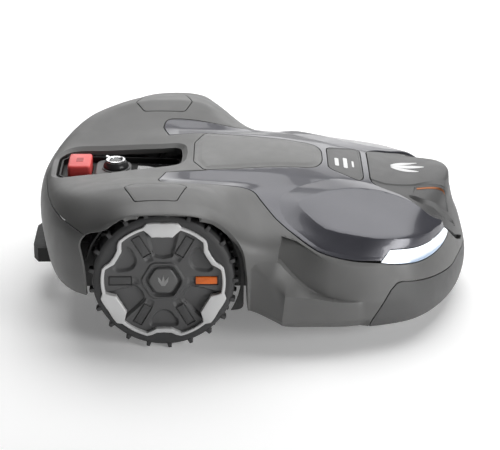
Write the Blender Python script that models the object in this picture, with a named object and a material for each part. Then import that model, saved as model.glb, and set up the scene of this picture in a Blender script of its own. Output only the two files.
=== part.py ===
"""Robotic lawn mower: a sprung body shell over a drive chassis with two driven rear wheels, two front
casters and a height-adjusted blade disc. +X is forward, +Y the mower's left, +Z up, and the origin is on
the ground under the middle of the outline."""
import math

import bmesh
import bpy
from mathutils import Matrix, Vector

MM = 0.001  # sizes below are in millimetres and points are scaled once, when a mesh is made

# Driving dimensions.
WALL = 2.5              # thickness of the moulded body panels
SEAM = 1.2              # width of the gaps between body panels
FIT = 0.4               # gap between pieces that rest on or run in each other
WHEEL_RADIUS = 122.5    # rear wheel over the tips of the lugs
WHEEL_X = -143.0
TYRE_INNER, TYRE_OUTER = 212.0, 268.0   # the tyre's two side planes, from the middle of the mower
TYRE_BORE = 96.0
LUGS = 21
CASTER_RADIUS = 36.0
CASTER_X, CASTER_Y = 222.0, 178.0       # the swivel axis
CASTER_TRAIL = 26.0
DISC_X, DISC_RADIUS = 20.0, 118.0
DISC_BOTTOM = 50.0      # underside of the blade disc at the middle cutting height
FLOOR_PAN = 76.0        # underside of the chassis
DECK_TOP = 206.0        # face of the control deck
BUTTON_X = -295.0
DIAL_X = -233.0

# Half sections of the outer skin, from the spine down to the skirt: x, then (y, z) of each guide line.
SECTIONS = [
    (-250, [(0, 226), (46, 227), (84, 233), (114, 239), (152, 250), (193, 262), (226, 257), (252, 246),
            (270, 226), (277, 196), (279, 165), (277, 130), (268, 94)]),
    (-200, [(0, 233), (48, 233), (86, 239), (117, 242), (160, 253), (203, 265), (240, 262), (264, 254),
            (284, 243), (288, 200), (289, 160), (288, 120), (282, 80)]),
    (-140, [(0, 237), (46, 237), (86, 243), (118, 241), (161, 253), (204, 266), (240, 264), (266, 257),
            (287, 246), (289, 200), (290, 150), (290, 108), (285, 64)]),
    (-95, [(0, 244), (45, 245), (86, 246), (119, 239), (160, 250), (204, 264), (238, 262), (264, 255),
           (286, 243), (289, 198), (290, 148), (290, 104), (285, 60)]),
    (-60, [(0, 247), (45, 247), (86, 246), (120, 237), (158, 246), (198, 252), (234, 246), (260, 235),
           (279, 217), (286, 182), (289, 142), (289, 102), (284, 58)]),
    (-25, [(0, 249), (45, 248), (86, 244), (121, 236), (150, 238), (186, 224), (222, 209), (250, 197),
           (273, 182), (283, 160), (287, 132), (288, 100), (282, 55)]),
    (10, [(0, 249), (45, 248), (86, 243), (122, 234), (146, 229), (172, 217), (200, 205), (224, 194),
          (250, 176), (264, 162), (274, 150), (281, 118), (280, 52)]),
    (50, [(0, 247), (45, 246), (86, 240), (124, 232), (152, 224), (180, 211), (206, 199), (230, 188),
          (250, 170), (260, 156), (265, 145), (284, 110), (280, 49)]),
    (85, [(0, 243), (45, 242), (86, 236), (126, 228), (154, 219), (178, 207), (200, 192), (222, 185),
          (244, 178), (258, 164), (262, 120), (284, 100), (279, 48)]),
    (120, [(0, 238), (45, 237), (86, 231), (127, 221), (170, 205), (207, 188), (226, 176), (241, 170),
           (254, 163), (263, 150), (265, 104), (282, 94), (277, 46)]),
    (160, [(0, 230), (45, 229), (86, 224), (127, 212), (176, 196), (216, 180), (230, 168), (240, 160),
           (249, 152), (260, 137), (265, 98), (277, 88), (272, 42)]),
    (200, [(0, 222), (45, 221), (86, 216), (126, 204), (174, 190), (219, 174), (230, 164), (237, 154),
           (244, 142), (253, 126), (261, 94), (269, 80), (263, 40)]),
    (245, [(0, 215), (45, 213), (86, 207), (126, 195), (168, 184), (207, 170), (217, 160), (224, 148),
           (231, 135), (240, 120), (247, 92), (253, 74), (246, 38)]),
]
# Where each guide line crosses the middle plane at the tail and at the nose, as (x, z).
TAIL = [(-322, 222), (-334, 221), (-345, 219), (-351, 214), (-356, 208), (-360, 201), (-363, 193),
        (-365, 185), (-366, 176), (-366, 163), (-364, 147), (-359, 121), (-352, 96)]
NOSE = [(335, 207), (341, 205), (346, 198), (350, 184), (354, 166), (359, 150), (363, 141),
        (367, 132), (371, 118), (375, 104), (379, 89), (382, 70), (377, 36)]
TAIL_ROWS, NOSE_ROWS = 4, 5
# Plan roundness of each end at the spine and at a later guide line, and that line's number.
TAIL_ROUND = (1.7, 2.2, 12)
NOSE_ROUND = (3.0, 1.6, 4)
END_FALL = 1.3            # how soon the guide lines drop towards the ends

# Panel outlines seen from above, as half outlines from the middle plane out and back to it.
SLOT = [(-332, 0), (-330, 38), (-318, 56), (-300, 60), (-128, 43), (-119, 33), (-117, 0)]
HATCH = [(-97, 0), (-97, 44), (-79, 86), (-35, 81), (80, 61), (100, 58), (112, 52), (121, 38), (125, 18),
         (125, 0)]
LABEL = [(134, 0), (134, 42), (140, 51), (182, 73), (190, 71), (194, 60), (194, 0)]
NOSE_PANEL = [(205, 0), (205, 58), (210, 74), (228, 88), (253, 98), (276, 116), (299, 128), (316, 123),
              (336, 107), (352, 85), (362, 62), (368, 46), (390, 46), (390, 0)]
HOOD = [(-60, 0), (-60, 80), (-79, 88), (-143, 88), (-154, 122), (-146, 147), (-110, 150), (-63, 144),
        (-21, 138), (4, 145), (16, 162), (29, 181), (42, 199), (58, 215), (76, 228), (96, 240), (114, 247),
        (140, 249), (176, 246), (213, 239), (241, 231), (272, 215), (292, 196), (311, 168), (327, 136),
        (336, 110), (340, 0)]
# Outlines of the pieces that come in a left and a right one.
LAMP = [(214, 240), (225, 228), (232, 222), (264, 210), (292, 184), (318, 144), (334, 104), (341, 104),
        (328, 137), (312, 169), (293, 197), (273, 216), (242, 232)]
FENDER_COVER = [(-207, 203), (-188, 250), (-119, 252), (-104, 203), (-117, 172), (-191, 172)]
# Outlines seen from the side, as (x, z).
ARCH = [(-262, 20), (-270, 60), (-275, 122), (-277, 160), (-281, 192), (-268, 206), (-257, 210), (-238, 214),
        (-217, 234), (-197, 245), (-150, 249), (-90, 246), (-62, 233), (-36, 212), (-18, 190), (-10, 170),
        (-6, 130), (-5, 20)]
REAR_BUMPER = [(-400, 206), (-330, 211), (-292, 211), (-262, 202), (-250, 202), (-250, 20), (-400, 20)]
FRONT_BUMPER = [(192, 20), (198, 46), (217, 77), (231, 98), (241, 107), (252, 108), (277, 103), (313, 95),
                (344, 89), (355, 92), (400, 89), (400, 20)]


# --- meshes and materials -------------------------------------------------------------------------------

def material(name, colour, roughness, metallic=0.0):
    finish = bpy.data.materials.new(name)
    finish.use_nodes = True
    shader = finish.node_tree.nodes["Principled BSDF"]
    shader.inputs["Base Color"].default_value = (*colour, 1.0)
    shader.inputs["Roughness"].default_value = roughness
    shader.inputs["Metallic"].default_value = metallic
    return finish


def add(name, shape, colour, roughness=0.5, metallic=0.0, at=(0, 0, 0)):
    """Makes an object from a bmesh in millimetres, with its origin at a point given in millimetres."""
    bmesh.ops.recalc_face_normals(shape, faces=shape.faces)
    bmesh.ops.translate(shape, verts=shape.verts, vec=-Vector(at))
    bmesh.ops.scale(shape, verts=shape.verts, vec=(MM, MM, MM))
    mesh = bpy.data.meshes.new(name)
    shape.to_mesh(mesh)
    shape.free()
    mesh.shade_smooth()
    mesh.set_sharp_from_angle(angle=math.radians(30))
    mesh.materials.append(material(name, colour, roughness, metallic))
    piece = bpy.data.objects.new(name, mesh)
    piece.location = Vector(at) * MM
    bpy.context.scene.collection.objects.link(piece)
    return piece


def prism(outline, low, high, axis="Z"):
    """A closed outline pushed from low to high along Z (points are x, y) or along Y (points are x, z)."""
    shape = bmesh.new()
    if axis == "Z":
        corners = [shape.verts.new((x, y, low)) for x, y in outline]
        push = (0, 0, high - low)
    else:
        corners = [shape.verts.new((x, low, z)) for x, z in outline]
        push = (0, high - low, 0)
    face = shape.faces.new(corners)
    grown = bmesh.ops.extrude_face_region(shape, geom=[face])["geom"]
    moved = [item for item in grown if isinstance(item, bmesh.types.BMVert)]
    bmesh.ops.translate(shape, verts=moved, vec=push)
    return shape


def block(low, high):
    (x0, y0, z0), (x1, y1, z1) = low, high
    return prism([(x0, y0), (x1, y0), (x1, y1), (x0, y1)], z0, z1)


def turned(profile, centre, axis="Z", steps=32):
    """A closed profile of (radius, height) turned about an axis through a point."""
    shape = bmesh.new()
    ring = [shape.verts.new((radius, 0, height)) for radius, height in profile]
    edges = [shape.edges.new((a, b)) for a, b in zip(ring, ring[1:])]
    if profile[0][0] > 0:
        edges.append(shape.edges.new((ring[-1], ring[0])))
    bmesh.ops.spin(shape, geom=ring + edges, cent=(0, 0, 0), axis=(0, 0, 1), angle=2 * math.pi,
                   steps=steps, use_merge=True)
    bmesh.ops.remove_doubles(shape, verts=shape.verts, dist=1e-4)
    if axis == "Y":
        bmesh.ops.rotate(shape, verts=shape.verts, matrix=Matrix.Rotation(-math.pi / 2, 3, "X"))
    bmesh.ops.translate(shape, verts=shape.verts, vec=centre)
    return shape


def rod(radius, low, high, centre, axis="Z", steps=24):
    return turned([(0, low), (radius, low), (radius, high), (0, high)], centre, axis, steps)


def flip(shape, side):
    """Mirrors a shape made for the left across the middle plane when side is -1."""
    bmesh.ops.scale(shape, verts=shape.verts, vec=(1, side, 1))
    return shape


def tool(name, shape):
    """A cutter: it shapes other pieces and isn't one itself."""
    cutter = add(name, shape, (1, 1, 1))
    cutter.hide_render = True
    cutter.display_type = "WIRE"
    return cutter


def boolean(piece, operation, cutter):
    step = piece.modifiers.new(cutter.name, "BOOLEAN")
    step.operation = operation
    step.solver = "EXACT"
    step.object = cutter


def join(piece, name, shape):
    boolean(piece, "UNION", tool(name, shape))


def cut(piece, name, shape):
    boolean(piece, "DIFFERENCE", tool(name, shape))


# --- outlines -------------------------------------------------------------------------------------------

def both_halves(half):
    return half + [(x, -y) for x, y in reversed(half) if y > 0]


def offset(outline, by):
    """The outline moved outwards by a distance, or inwards where it is negative."""
    area = sum(ax * by_ - bx * ay for (ax, ay), (bx, by_) in zip(outline, outline[1:] + outline[:1]))
    outward = by if area > 0 else -by
    moved = []
    for before, here, after in zip(outline[-1:] + outline[:-1], outline, outline[1:] + outline[:1]):
        first = (Vector(here) - Vector(before)).normalized()
        second = (Vector(after) - Vector(here)).normalized()
        normals = Vector((first.y, -first.x)), Vector((second.y, -second.x))
        middle = (normals[0] + normals[1]).normalized()
        moved.append(tuple(Vector(here) + middle * outward / max(middle.dot(normals[0]), 0.5)))
    return moved


# --- body panels ----------------------------------------------------------------------------------------

def skin_rows():
    """Rows of points from spine to skirt: the tail's fan, the sections and the nose's fan."""
    def fan(section, end, roundness, count):
        x0, guide = section
        rows = []
        for step in range(1, count + 1):
            turn = math.pi / 2 * step / count
            row = []
            for index, ((y, z), (x_end, z_end)) in enumerate(zip(guide, end)):
                at_spine, at_line, line = roundness
                power = 2 / (at_spine + (at_line - at_spine) * min(index / line, 1))
                along, across = math.sin(turn) ** power, max(math.cos(turn), 0.0) ** power
                row.append((x0 + (x_end - x0) * along, y * across if step < count else 0.0,
                            z + (z_end - z) * math.sin(turn) ** END_FALL))
            rows.append(row)
        return rows

    middle = [[(x, y, z) for y, z in guide] for x, guide in SECTIONS]
    tail = fan(SECTIONS[0], TAIL, TAIL_ROUND, TAIL_ROWS)
    return tail[::-1] + middle + fan(SECTIONS[-1], NOSE, NOSE_ROUND, NOSE_ROWS)


def skin():
    """The whole outer skin as one sheet of quads, the left half and its mirror image."""
    shape = bmesh.new()
    for side in (1, -1):
        grid = [[shape.verts.new((x, y * side, z)) for x, y, z in row] for row in skin_rows()]
        for near, far in zip(grid, grid[1:]):
            for a, b, c, d in zip(near, near[1:], far[1:], far):
                shape.faces.new((a, b, c, d))
    bmesh.ops.remove_doubles(shape, verts=shape.verts, dist=1e-3)
    return shape


def panel(name, keep, remove, colour, roughness):
    """One body panel: the skin given its wall, kept inside some cutters and cleared of others."""
    piece = add(name, skin(), colour, roughness)
    smooth = piece.modifiers.new("smooth", "SUBSURF")
    smooth.levels = smooth.render_levels = 1
    wall = piece.modifiers.new("wall", "SOLIDIFY")
    wall.thickness = WALL * MM
    wall.offset = -1
    for cutter in keep:
        boolean(piece, "INTERSECT", cutter)
    for cutter in remove:
        boolean(piece, "DIFFERENCE", cutter)
    return piece


def body_panels():
    def pair(name, outline, low, high, axis="Z"):
        """Two cutters from one outline: a tight one for the panel and a loose one for its neighbours."""
        return (tool(name + "_keep", prism(offset(outline, -SEAM / 2), low, high, axis)),
                tool(name + "_clear", prism(offset(outline, SEAM / 2), low, high, axis)))

    def sides(outline):
        return [outline, [(x, -y) for x, y in outline]]

    hood = pair("hood", both_halves(HOOD), 108, 300)
    hatch = pair("hatch", both_halves(HATCH), 150, 300)
    label = pair("label", both_halves(LABEL), 150, 300)
    nose = pair("nose", both_halves(NOSE_PANEL), 104, 300)
    front = pair("front_bumper", FRONT_BUMPER, -300, 300, "Y")
    rear = pair("rear_bumper", REAR_BUMPER, -300, 300, "Y")
    lamps = [pair(f"lamp_{index}", outline, 110, 300) for index, outline in enumerate(sides(LAMP))]
    covers = [pair(f"cover_{index}", outline, 200, 300) for index, outline in enumerate(sides(FENDER_COVER))]
    slot = tool("slot", prism(both_halves(SLOT), 150, 300))
    arches = [tool("arch_left", prism(ARCH, 180, 300, "Y")), tool("arch_right", prism(ARCH, -300, -180, "Y"))]

    grey, dark = (0.20, 0.20, 0.20), (0.10, 0.10, 0.12)
    panel("body_shell", [], [hood[1], hatch[1], nose[1], front[1], rear[1], slot, *arches,
                             covers[0][1], covers[1][1], lamps[0][1], lamps[1][1]], grey, 0.5)
    panel("hood", [hood[0]], [hatch[1], label[1], nose[1], lamps[0][1], lamps[1][1]], dark, 0.35)
    panel("top_hatch", [hatch[0]], [], grey, 0.5)
    panel("label_plate", [label[0]], [], dark, 0.5)
    panel("nose_panel", [nose[0]], [], dark, 0.5)
    panel("front_bumper", [front[0]], [], dark, 0.6)
    panel("rear_bumper", [rear[0]], arches, grey, 0.5)
    for side, cutters in zip(("left", "right"), lamps):
        panel(f"headlight_{side}", [cutters[0]], [nose[1]], (0.9, 0.95, 1.0), 0.1)
    for side, cutters in zip(("left", "right"), covers):
        panel(f"fender_cover_{side}", [cutters[0]], [], grey, 0.5)


# --- chassis --------------------------------------------------------------------------------------------

TUB = [(-315, 110), (-285, 186), (110, 186), (150, 204), (250, 198), (285, 150), (315, 60)]
TUB_TOP = 156.0
TUB_WALL = 3.0
ARM_X = 140.0          # ahead of this the pan is raised to clear the casters
ARM_BOTTOM = 92.0
COVER_TOP = 192.0


def chassis():
    plastic = (0.03, 0.03, 0.032)
    outline = both_halves(TUB)
    lower = add("chassis_lower", prism(outline, FLOOR_PAN, TUB_TOP), plastic, 0.6)
    cut(lower, "tub_inside", prism(offset(outline, -TUB_WALL), ARM_BOTTOM + TUB_WALL, TUB_TOP + 10))
    well = both_halves([(-300, 0), (-300, 110), (-278, 178), (ARM_X - 8, 178), (ARM_X - 8, 0)])
    cut(lower, "tub_well", prism(well, FLOOR_PAN + TUB_WALL, TUB_TOP - 10))
    cut(lower, "caster_bay", block((ARM_X, -230, FLOOR_PAN - 10), (340, 230, ARM_BOTTOM)))
    cut(lower, "disc_hole", rod(34, FLOOR_PAN - 5, FLOOR_PAN + 10, (DISC_X, 0, 0)))
    for side in (1, -1):
        cut(lower, f"shaft_hole_{side}", rod(10, 170, 200, (WHEEL_X, 0, WHEEL_RADIUS), "Y")
            if side > 0 else rod(10, -200, -170, (WHEEL_X, 0, WHEEL_RADIUS), "Y"))
        cut(lower, f"swivel_hole_{side}", rod(6.6, 85, 110, (CASTER_X, side * CASTER_Y, 0)))
    upper = add("chassis_upper", prism(outline, TUB_TOP + FIT, TUB_TOP + 4), plastic, 0.6)
    dome = [(-312, 52), (-240, 62), (-60, 150), (60, 150), (120, 100), (150, 60)]
    join(upper, "cover_dome", prism(both_halves(dome), TUB_TOP + 1, COVER_TOP))
    inner_dome = offset(both_halves(dome), -TUB_WALL)
    cut(upper, "cover_inside", prism(inner_dome, TUB_TOP - 5, COVER_TOP - TUB_WALL))

    for side, name in ((1, "left"), (-1, "right")):
        gearbox = turned([(0, 118), (30, 118), (30, 158), (20, 162), (0, 162)],
                         (WHEEL_X, 0, WHEEL_RADIUS), "Y", 24)
        motor = add(f"drive_motor_{name}", flip(gearbox, side), (0.30, 0.30, 0.32), 0.35, 0.8)
        join(motor, f"motor_can_{name}", flip(rod(22, 70, 120, (WHEEL_X, 0, WHEEL_RADIUS), "Y"), side))
        arc = [(WHEEL_X + r * math.cos(a), WHEEL_RADIUS + r * math.sin(a))
               for r, turns in ((128, range(0, 13)), (130.5, range(12, -1, -1)))
               for a in [math.radians(14 * turn) for turn in turns]]
        add(f"wheel_liner_{name}", flip(prism(arc, 196, 246, "Y"), side), plastic, 0.7)
        foot = TUB_TOP + 4 + FIT
        for end, x, y, top in (("rear", -285, 140, 226), ("front", 150, 130, 198)):
            post = [(0, foot), (11, foot), (11, foot + 8), (6, foot + 14), (6, top - 10), (12, top - 5),
                    (12, top), (0, top)]
            add(f"body_post_{end}_{name}", turned(post, (x, side * y, 0), steps=16), (0.05, 0.05, 0.05), 0.8)

    add("battery", block((-110, -52, FLOOR_PAN + TUB_WALL + FIT), (-50, 52, FLOOR_PAN + 46)),
        (0.08, 0.09, 0.10), 0.5)
    add("main_board", block((-275, -60, 150), (-190, 60, 152)), (0.02, 0.16, 0.07), 0.4)

    bar = both_halves([(-378, 0), (-378, 40), (-369, 58), (-315.4, 58), (-315.4, 44), (-358, 44), (-361, 0)])
    add("rear_handle", prism(bar, 62, 88), plastic, 0.7)


# --- controls -------------------------------------------------------------------------------------------

def controls():
    black = (0.015, 0.015, 0.017)
    inside = both_halves([(-326, 0), (-326, 34), (-314, 50), (-130, 38), (-123, 30), (-123, 0)])
    deck = add("control_deck", prism(offset(inside, 3), COVER_TOP + FIT, 216), black, 0.35)
    cut(deck, "deck_recess", prism(inside, DECK_TOP, 230))
    button_well = [(BUTTON_X - 21, -32), (BUTTON_X + 21, -32), (BUTTON_X + 21, 32), (BUTTON_X - 21, 32)]
    cut(deck, "button_well", prism(button_well, DECK_TOP - 9, 230))
    button = [(BUTTON_X - 20, -31), (BUTTON_X + 20, -31), (BUTTON_X + 20, 31), (BUTTON_X - 20, 31)]
    add("stop_button", prism(button, DECK_TOP - 2, 230), (0.75, 0.08, 0.06), 0.45, at=(BUTTON_X, 0, DECK_TOP))

    base = DECK_TOP + FIT
    ring = [(20.6, base), (30, base), (30, base + 5), (27, base + 8), (20.6, base + 8)]
    add("dial_bezel", turned(ring, (DIAL_X, 0, 0)), black, 0.3)
    knob = [(9.5, base), (20, base), (20, base + 22), (16, base + 30), (9.5, base + 30)]
    add("jog_dial", turned(knob, (DIAL_X, 0, 0)), (0.05, 0.05, 0.055), 0.35, at=(DIAL_X, 0, base))
    press = [(0, base + 3), (9, base + 3), (9, base + 31), (0, base + 31)]
    add("dial_button", turned(press, (DIAL_X, 0, 0)), black, 0.3, at=(DIAL_X, 0, base))
    add("display_panel", block((-196, -26, base), (-132, 26, base + 2)), black, 0.1)


# --- wheels ---------------------------------------------------------------------------------------------

def lug_ring():
    """The tyre seen from the side: a bore inside an outline with one block for each lug."""
    shape = bmesh.new()
    steps = LUGS * 4
    inner = bmesh.ops.create_circle(shape, segments=steps, radius=TYRE_BORE)["verts"]
    outer = bmesh.ops.create_circle(shape, segments=steps, radius=WHEEL_RADIUS)["verts"]
    for index, corner in enumerate(outer):
        on_lug = index % 4 in (0, 1)
        turn = 2 * math.pi * (index - 0.5) / steps - math.pi / 2
        radius = WHEEL_RADIUS if on_lug else WHEEL_RADIUS - 6
        corner.co = Vector((radius * math.cos(turn), radius * math.sin(turn), 0))
        inner[index].co = Vector((TYRE_BORE * math.cos(turn), TYRE_BORE * math.sin(turn), 0))
    for index in range(steps):
        after = (index + 1) % steps
        shape.faces.new((inner[index], outer[index], outer[after], inner[after]))
    grown = bmesh.ops.extrude_face_region(shape, geom=shape.faces[:])["geom"]
    top = [item for item in grown if isinstance(item, bmesh.types.BMVert)]
    bmesh.ops.translate(shape, verts=top, vec=(0, 0, TYRE_OUTER - TYRE_INNER))
    bmesh.ops.rotate(shape, verts=shape.verts, matrix=Matrix.Rotation(math.pi / 2, 3, "X"))
    bmesh.ops.translate(shape, verts=shape.verts, vec=(WHEEL_X, TYRE_OUTER, WHEEL_RADIUS))
    return shape


def rear_wheels():
    for side, name in ((1, "left"), (-1, "right")):
        axis = (WHEEL_X, 0, WHEEL_RADIUS)
        centre = (WHEEL_X, side * TYRE_OUTER, WHEEL_RADIUS)
        add(f"tyre_{name}", flip(lug_ring(), side), (0.02, 0.02, 0.02), 0.8, at=centre)
        hub = [(0, 220), (24, 220), (24, 232), (TYRE_BORE - FIT, 232), (TYRE_BORE - FIT, 266), (34, 266),
               (34, 262), (0, 262)]
        add(f"wheel_hub_{name}", flip(turned(hub, axis, "Y", 40), side), (0.09, 0.09, 0.09), 0.5, at=centre)
        trim = [(91, 268.4), (106, 268.4), (106, 270), (104, 272), (91, 272)]
        add(f"wheel_ring_{name}", flip(turned(trim, axis, "Y", 40), side), (0.75, 0.75, 0.75), 0.3, at=centre)
        cap = [(0, 262.4), (25, 262.4), (25, 267), (22, 270), (0, 270)]
        add(f"wheel_cap_{name}", flip(turned(cap, axis, "Y", 24), side), (0.09, 0.09, 0.09), 0.4, at=centre)
        marker = block((WHEEL_X + 52, 266.4, WHEEL_RADIUS - 7), (WHEEL_X + 88, 268.2, WHEEL_RADIUS + 7))
        add(f"wheel_marker_{name}", flip(marker, side), (0.9, 0.22, 0.02), 0.4, at=centre)
        add(f"drive_axle_{name}", flip(rod(7, 162.4, 219.6, axis, "Y"), side), (0.5, 0.5, 0.5), 0.3, 1.0,
            at=centre)


def casters():
    x, z = CASTER_X - CASTER_TRAIL, CASTER_RADIUS
    half = 12.0
    for side, name in ((1, "left"), (-1, "right")):
        y = side * CASTER_Y
        plate = [(x - 8, z - 6), (x + 8, z - 8), (CASTER_X + 17, 78), (CASTER_X + 17, 88), (CASTER_X - 20, 88),
                 (x - 10, z + 30)]
        fork = add(f"caster_fork_{name}", prism(plate, y - half - 4, y + half + 4, "Y"),
                   (0.04, 0.04, 0.04), 0.5, at=(CASTER_X, y, 88))
        cut(fork, f"fork_slot_{name}", block((x - 60, y - half - 1, z - 40), (CASTER_X + 60, y + half + 1, 82)))
        join(fork, f"fork_stem_{name}", rod(6, 85, 124, (CASTER_X, y, 0)))
        tread = [(4.4, -half), (CASTER_RADIUS - 4, -half), (CASTER_RADIUS, -half + 4), (CASTER_RADIUS, half - 4),
                 (CASTER_RADIUS - 4, half), (4.4, half)]
        add(f"caster_wheel_{name}", turned(tread, (x, y, z), "Y", 32), (0.03, 0.03, 0.03), 0.7, at=(x, y, z))
        add(f"caster_axle_{name}", rod(4, -half - 0.6, half + 0.6, (x, y, z), "Y", 16), (0.6, 0.6, 0.6), 0.3,
            1.0, at=(x, y, z))


# --- cutting system -------------------------------------------------------------------------------------

def cutting_system():
    centre = (DISC_X, 0, 0)
    steel = (0.55, 0.55, 0.56)
    top = DISC_BOTTOM + 3
    carriage = [(0, 100), (50, 100), (50, 104), (30, 108), (30, 150), (0, 150)]
    add("cutting_motor", turned(carriage, centre), (0.10, 0.10, 0.10), 0.5, at=(DISC_X, 0, 100))
    screw = add("height_screw", rod(7, 98, 152, (DISC_X + 62, 0, 0), steps=16), steel, 0.3, 0.9,
                at=(DISC_X + 62, 0, 98))
    join(screw, "screw_gear", rod(11, 90, 99, (DISC_X + 62, 0, 0), steps=16))
    disc = [(0, DISC_BOTTOM), (DISC_RADIUS, DISC_BOTTOM), (DISC_RADIUS, top), (20, top), (12, top + 8),
            (12, 99.6), (0, 99.6)]
    add("blade_disc", turned(disc, centre, steps=40), (0.12, 0.12, 0.12), 0.5, at=(DISC_X, 0, DISC_BOTTOM))
    blade = both_halves([(-12, 0), (-12, 8), (-8, 9.5), (20, 9.5), (25, 0)])
    for index in range(3):
        turn = 2 * math.pi * index / 3
        shape = prism(blade, DISC_BOTTOM - FIT - 0.8, DISC_BOTTOM - FIT)
        bmesh.ops.rotate(shape, verts=shape.verts, matrix=Matrix.Rotation(turn, 3, "Z"))
        pivot = Vector((DISC_X + 100 * math.cos(turn), 100 * math.sin(turn), 0))
        bmesh.ops.translate(shape, verts=shape.verts, vec=pivot)
        add(f"blade_{index + 1}", shape, steel, 0.25, 1.0, at=(pivot.x, pivot.y, DISC_BOTTOM))
    skid = [(0, 41), (60, 41), (72, 45), (70, 46), (58, 43), (14, 43), (14, DISC_BOTTOM - FIT), (0, DISC_BOTTOM - FIT)]
    add("skid_plate", turned(skid, centre), (0.05, 0.05, 0.05), 0.5, at=(DISC_X, 0, 41))


for leftover in list(bpy.data.objects):
    bpy.data.objects.remove(leftover, do_unlink=True)
body_panels()
chassis()
controls()
rear_wheels()
casters()
cutting_system()
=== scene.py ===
import math
import bmesh
import bpy
from mathutils import Matrix, Vector


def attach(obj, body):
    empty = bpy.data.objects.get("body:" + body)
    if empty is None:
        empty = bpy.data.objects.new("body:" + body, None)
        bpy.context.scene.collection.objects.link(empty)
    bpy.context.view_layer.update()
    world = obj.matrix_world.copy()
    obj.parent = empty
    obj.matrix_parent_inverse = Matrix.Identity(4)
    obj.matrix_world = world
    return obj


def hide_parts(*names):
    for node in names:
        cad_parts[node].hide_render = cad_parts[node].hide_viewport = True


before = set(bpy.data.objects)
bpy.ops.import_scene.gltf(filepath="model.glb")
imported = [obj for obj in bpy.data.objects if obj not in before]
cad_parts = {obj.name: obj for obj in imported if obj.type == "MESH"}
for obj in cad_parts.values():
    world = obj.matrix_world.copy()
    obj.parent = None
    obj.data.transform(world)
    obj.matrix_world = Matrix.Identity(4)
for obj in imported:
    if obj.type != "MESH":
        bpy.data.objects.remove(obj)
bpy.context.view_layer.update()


# --- Camera, floor and light ---
# A long lens a little above and beside the mower's right flank. The floor is a pale sheet, lit by one wide
# soft box above and behind, a low one at the back and one off the front corner.

FOCAL, FRAME_WIDTH = 1900.0, 500.0
PITCH, YAW, DISTANCE = math.radians(23.7), math.radians(0.3), 3.35
AIM = Vector((0.0, 0.0, 0.1055))

sight = Vector((math.sin(YAW) * math.cos(PITCH), math.cos(YAW) * math.cos(PITCH), -math.sin(PITCH)))
camera_data = bpy.data.cameras.new("camera")
camera_data.sensor_width = 36.0
camera_data.lens = FOCAL / FRAME_WIDTH * camera_data.sensor_width
camera = bpy.data.objects.new("camera", camera_data)
camera.location = AIM - sight * DISTANCE
camera.rotation_mode = "QUATERNION"
camera.rotation_quaternion = sight.to_track_quat("-Z", "Y")
bpy.context.scene.collection.objects.link(camera)
bpy.context.scene.camera = camera


def soft_box(name, place, size, power):
    light = bpy.data.lights.new(name, "AREA")
    light.shape = "RECTANGLE"
    light.size, light.size_y = size
    light.energy = power
    lamp = bpy.data.objects.new(name, light)
    lamp.location = place
    lamp.rotation_mode = "QUATERNION"
    lamp.rotation_quaternion = (AIM - Vector(place)).to_track_quat("-Z", "Y")
    bpy.context.scene.collection.objects.link(lamp)


soft_box("top_box", (0.15, 0.75, 2.2), (3.0, 1.8), 58.0)
soft_box("back_box", (0.3, 2.7, 1.2), (3.8, 1.6), 42.0)
soft_box("flank_box", (2.7, -2.0, 1.0), (1.6, 1.4), 74.0)

room = bpy.data.worlds.new("room")
room.use_nodes = True
room_nodes, room_links = room.node_tree.nodes, room.node_tree.links
room_place = room_nodes.new("ShaderNodeTexCoord")
room_axes = room_nodes.new("ShaderNodeSeparateXYZ")
room_height = room_nodes.new("ShaderNodeMapRange")
room_height.inputs["From Min"].default_value = -0.5
room_height.inputs["From Max"].default_value = 0.9
room_height.inputs["To Min"].default_value = 0.2
room_height.inputs["To Max"].default_value = 1.0
room_links.new(room_place.outputs["Generated"], room_axes.inputs["Vector"])
room_links.new(room_axes.outputs["Y"], room_height.inputs["Value"])
room_links.new(room_height.outputs["Result"], room_nodes["Background"].inputs["Strength"])
bpy.context.scene.world = room
bpy.context.scene.view_settings.view_transform = "Standard"

floor_shape = bmesh.new()
bmesh.ops.create_grid(floor_shape, x_segments=1, y_segments=1, size=14.0)
floor_mesh = bpy.data.meshes.new("floor")
floor_shape.to_mesh(floor_mesh)
floor_shape.free()
floor = bpy.data.objects.new("floor", floor_mesh)
bpy.context.scene.collection.objects.link(floor)
floor_paint = bpy.data.materials.new("floor_paint")
floor_paint.use_nodes = True
floor_shader = floor_paint.node_tree.nodes["Principled BSDF"]
floor_shader.inputs["Base Color"].default_value = (0.96, 0.96, 0.96, 1.0)
floor_shader.inputs["Emission Color"].default_value = (1.0, 1.0, 1.0, 1.0)
floor_shader.inputs["Emission Strength"].default_value = 0.18
floor_shader.inputs["Roughness"].default_value = 0.75
floor_mesh.materials.append(floor_paint)


# --- Body shell ---
# The big mid-grey moulding: rear deck, fenders over the wheels, flanks and the apron under the headlights.
# It is injection moulded in one piece with a fine spark-eroded grain, and hangs on the four body posts.

MM = 0.001        # sizes are in millimetres; a finished mesh is scaled to the frame's metres once
WALL = 2.2        # thickness of the moulded panels
SEAM = 1.3        # gap between neighbouring panels
RIM = 0.7         # radius of the rolled edge along a gap
RETURN = 4.0      # how deep the edge turns in
SKIN_LEVELS = 3   # subdivisions of the control net

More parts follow.
